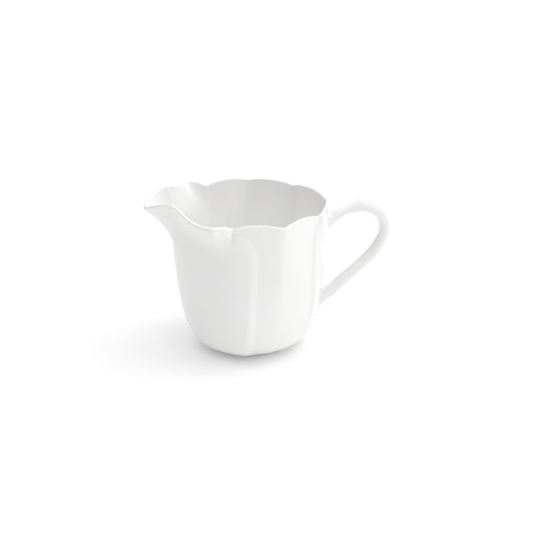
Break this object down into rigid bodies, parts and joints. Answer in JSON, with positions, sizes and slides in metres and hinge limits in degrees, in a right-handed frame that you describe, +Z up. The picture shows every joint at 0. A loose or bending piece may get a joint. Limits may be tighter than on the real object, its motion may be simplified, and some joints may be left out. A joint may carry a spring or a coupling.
{
  "type": "porcelain cream jug",
  "caption": "White glazed cream jug with overlapping folded petal walls, a lobed rim, a wide curled spout and a looped strap handle with a thumb peak.",
  "frame": {"origin": "centre of the foot ring's resting face, on the table", "axes": "+Z up, +X towards the handle, -X towards the spout, the jug is symmetric about the XZ plane"},
  "size_m": [0.1318, 0.0848, 0.0857],
  "materials": {
    "glaze": "clear gloss glaze on white porcelain",
    "handle_glaze": "clear gloss glaze on white porcelain",
    "biscuit": "unglazed fired porcelain, fine matt"
  },
  "bodies": {
    "root": {"spout_petal": "glaze", "left_petal": "glaze", "right_petal": "glaze", "handle_petal": "glaze", "cup_floor": "glaze", "foot_ring": "biscuit", "handle": "handle_glaze", "handle_upper_joint": "handle_glaze", "handle_lower_joint": "handle_glaze"}
  },
  "joints": []
}
